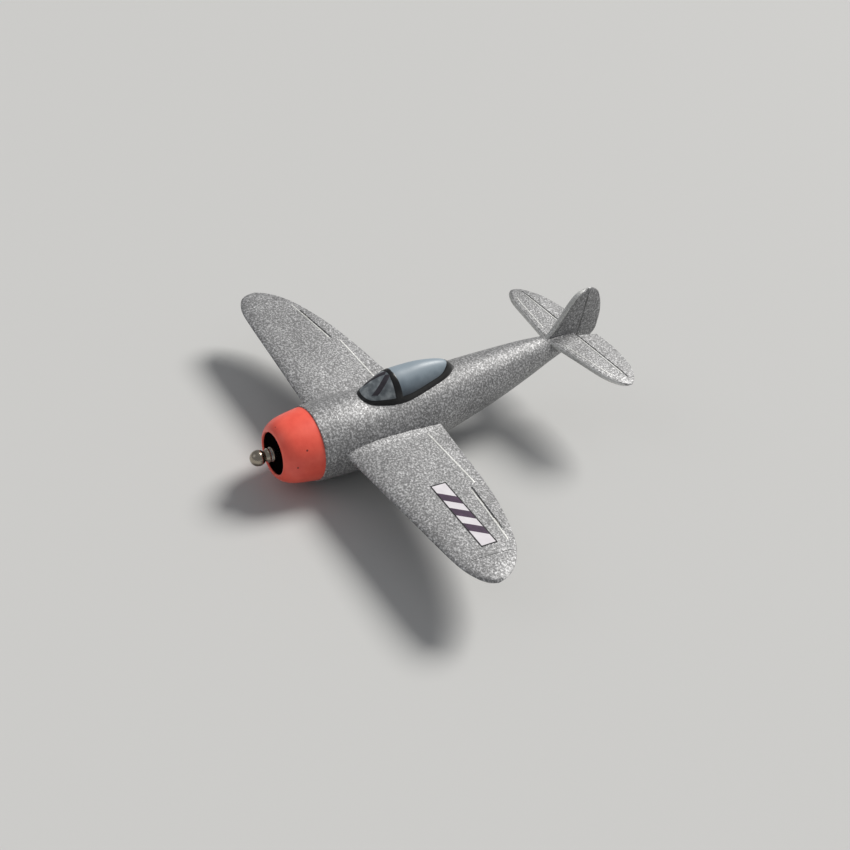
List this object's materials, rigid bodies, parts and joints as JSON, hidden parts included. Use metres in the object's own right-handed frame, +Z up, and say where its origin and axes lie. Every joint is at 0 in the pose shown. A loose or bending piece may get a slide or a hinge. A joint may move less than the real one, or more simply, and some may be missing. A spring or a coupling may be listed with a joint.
{
  "type": "radio-controlled fighter plane",
  "caption": "Small silver foam belly-landing fighter with a red cowl, domed propeller nut, bubble canopy hatch and working ailerons, elevator and rudder.",
  "frame": {"origin": "on the ground plane under the middle of the model's length and span, the belly skid's underside being Z = 0", "axes": "-Y towards the nose, +X towards the left wing tip, +Z up"},
  "size_m": [0.3994, 0.35, 0.1248],
  "materials": {
    "silver_foam": "expanded polyolefin foam, brushed silver lacquer",
    "red_cowl": "satin red enamel",
    "black_plastic": "moulded nylon, satin",
    "white_nylon": "moulded nylon",
    "black_trim": "black gloss paint",
    "canopy_blue": "vacuum formed sheet, blue-grey paint",
    "carbon": "pultruded carbon tube",
    "plywood": "lite plywood",
    "steel": "bright drawn",
    "polished_nut": "polished",
    "alloy": "turned",
    "anodised": "black anodised",
    "stator_copper": "enamelled copper on laminated steel",
    "servo_blue": "tinted case",
    "circuit": "heat-shrunk circuit board",
    "battery_wrap": "heat-shrink film",
    "webbing": "hook-and-loop strap",
    "wire": "silicone insulation",
    "skid_plastic": "moulded ABS",
    "magnet": "nickel plated"
  },
  "bodies": {
    "airframe": {"fuselage_shell_left": "silver_foam", "fuselage_shell_right": "silver_foam", "cowl": "red_cowl", "wing_panel_left": "silver_foam", "wing_panel_right": "silver_foam", "wing_spars": "carbon", "spar_joiner": "black_plastic", "tailplane": "silver_foam", "fin": "silver_foam", "belly_skid": "skid_plastic", "firewall": "black_plastic", "motor_screws": "steel", "motor_stator": "stator_copper", "speed_controller": "circuit", "receiver": "circuit", "battery": "battery_wrap", "battery_tray": "plywood", "battery_strap": "webbing", "power_leads": "wire", "servo_leads": "wire", "bay_magnets": "magnet", "servo_tray": "plywood", "aileron_servos": "servo_blue", "elevator_servo": "servo_blue", "rudder_servo": "servo_blue", "aileron_hinges_left_fixed": "white_nylon", "aileron_hinges_right_fixed": "white_nylon", "elevator_hinges_fixed": "white_nylon", "rudder_hinges_fixed": "white_nylon"},
    "propeller_drive": {"motor_bell": "anodised", "motor_shaft": "steel", "propeller_adapter": "alloy", "propeller_washer": "steel", "propeller_nut": "polished_nut"},
    "canopy": {"canopy_hatch": "silver_foam", "canopy_frame": "black_trim", "canopy_glazing": "canopy_blue", "hatch_magnets": "magnet"},
    "aileron_left": {"aileron_left": "silver_foam", "aileron_hinges_left_moving": "white_nylon", "aileron_horn_left": "white_nylon"},
    "aileron_right": {"aileron_right": "silver_foam", "aileron_hinges_right_moving": "white_nylon", "aileron_horn_right": "white_nylon"},
    "elevator": {"elevator_left": "silver_foam", "elevator_right": "silver_foam", "elevator_joiner": "steel", "elevator_hinges_moving": "white_nylon", "elevator_horn": "white_nylon"},
    "rudder": {"rudder": "silver_foam", "rudder_hinges_moving": "white_nylon", "rudder_horn": "white_nylon"},
    "aileron_arm_left": {"aileron_arm_left": "white_nylon"},
    "aileron_arm_right": {"aileron_arm_right": "white_nylon"},
    "elevator_arm": {"elevator_arm": "white_nylon"},
    "rudder_arm": {"rudder_arm": "white_nylon"},
    "aileron_rod_left": {"aileron_rod_left": "steel"},
    "aileron_rod_right": {"aileron_rod_right": "steel"},
    "elevator_rod": {"elevator_rod": "steel"},
    "rudder_rod": {"rudder_rod": "steel"}
  },
  "joints": [
    {"name": "propeller_spin", "type": "hinge", "parent": "airframe", "child": "propeller_drive", "pos_m": [0, -0.15, 0.036], "axis": [0, 1, 0], "continuous": true},
    {"name": "canopy_lift", "type": "slide", "parent": "airframe", "child": "canopy", "axis": [0, 0, 1], "range_m": [0, 0.04]},
    {"name": "aileron_left_hinge", "type": "hinge", "parent": "airframe", "child": "aileron_left", "pos_m": [0.134, -0.0465, 0.0483], "axis": [0.9879, -0.1444, 0.057], "range_deg": [-20, 20]},
    {"name": "aileron_right_hinge", "type": "hinge", "parent": "airframe", "child": "aileron_right", "pos_m": [-0.134, -0.0465, 0.0483], "axis": [0.9879, 0.1444, -0.057], "range_deg": [-20, 20]},
    {"name": "aileron_arm_left_shaft", "type": "hinge", "parent": "airframe", "child": "aileron_arm_left", "pos_m": [0.11273, -0.07369, 0.04457], "axis": [0.9879, -0.1444, 0.057], "range_deg": [-20, 20]},
    {"name": "aileron_arm_right_shaft", "type": "hinge", "parent": "airframe", "child": "aileron_arm_right", "pos_m": [-0.11273, -0.07369, 0.04457], "axis": [0.9879, 0.1444, -0.057], "range_deg": [-20, 20]},
    {"name": "aileron_rod_left_pivot", "type": "hinge", "parent": "aileron_arm_left", "child": "aileron_rod_left", "pos_m": [0.11536, -0.07401, 0.03671], "axis": [0.9879, -0.1444, 0.057], "range_deg": [-20, 20]},
    {"name": "aileron_rod_right_pivot", "type": "hinge", "parent": "aileron_arm_right", "child": "aileron_rod_right", "pos_m": [-0.11536, -0.07401, 0.03671], "axis": [0.9879, 0.1444, -0.057], "range_deg": [-20, 20]},
    {"name": "elevator_hinge", "type": "hinge", "parent": "airframe", "child": "elevator", "pos_m": [0, 0.146, 0.077], "axis": [1, 0, 0], "range_deg": [-20, 20]},
    {"name": "elevator_arm_shaft", "type": "hinge", "parent": "airframe", "child": "elevator_arm", "pos_m": [-0.012, 0.012, 0.048], "axis": [1, 0, 0], "range_deg": [-20, 20]},
    {"name": "elevator_rod_pivot", "type": "hinge", "parent": "elevator_arm", "child": "elevator_rod", "pos_m": [-0.0106, 0.012, 0.04], "axis": [1, 0, 0], "range_deg": [-20, 20]},
    {"name": "rudder_hinge", "type": "hinge", "parent": "airframe", "child": "rudder", "pos_m": [0, 0.15, 0.095], "axis": [0, 0, 1], "range_deg": [-20, 20]},
    {"name": "rudder_arm_shaft", "type": "hinge", "parent": "airframe", "child": "rudder_arm", "pos_m": [0, 0.04, 0.0507], "axis": [0, 0, 1], "range_deg": [-20, 20]},
    {"name": "rudder_rod_pivot", "type": "hinge", "parent": "rudder_arm", "child": "rudder_rod", "pos_m": [-0.008, 0.04, 0.0521], "axis": [0, 0, 1], "range_deg": [-20, 20]}
  ],
  "couplings": [
    {"joint": "aileron_right_hinge", "follows": "aileron_left_hinge", "ratio": -1},
    {"joint": "aileron_arm_left_shaft", "follows": "aileron_left_hinge", "ratio": 1},
    {"joint": "aileron_arm_right_shaft", "follows": "aileron_left_hinge", "ratio": -1},
    {"joint": "aileron_rod_left_pivot", "follows": "aileron_left_hinge", "ratio": -1},
    {"joint": "aileron_rod_right_pivot", "follows": "aileron_left_hinge", "ratio": 1},
    {"joint": "elevator_arm_shaft", "follows": "elevator_hinge", "ratio": 1},
    {"joint": "elevator_rod_pivot", "follows": "elevator_hinge", "ratio": -1},
    {"joint": "rudder_arm_shaft", "follows": "rudder_hinge", "ratio": 1},
    {"joint": "rudder_rod_pivot", "follows": "rudder_hinge", "ratio": -1}
  ]
}
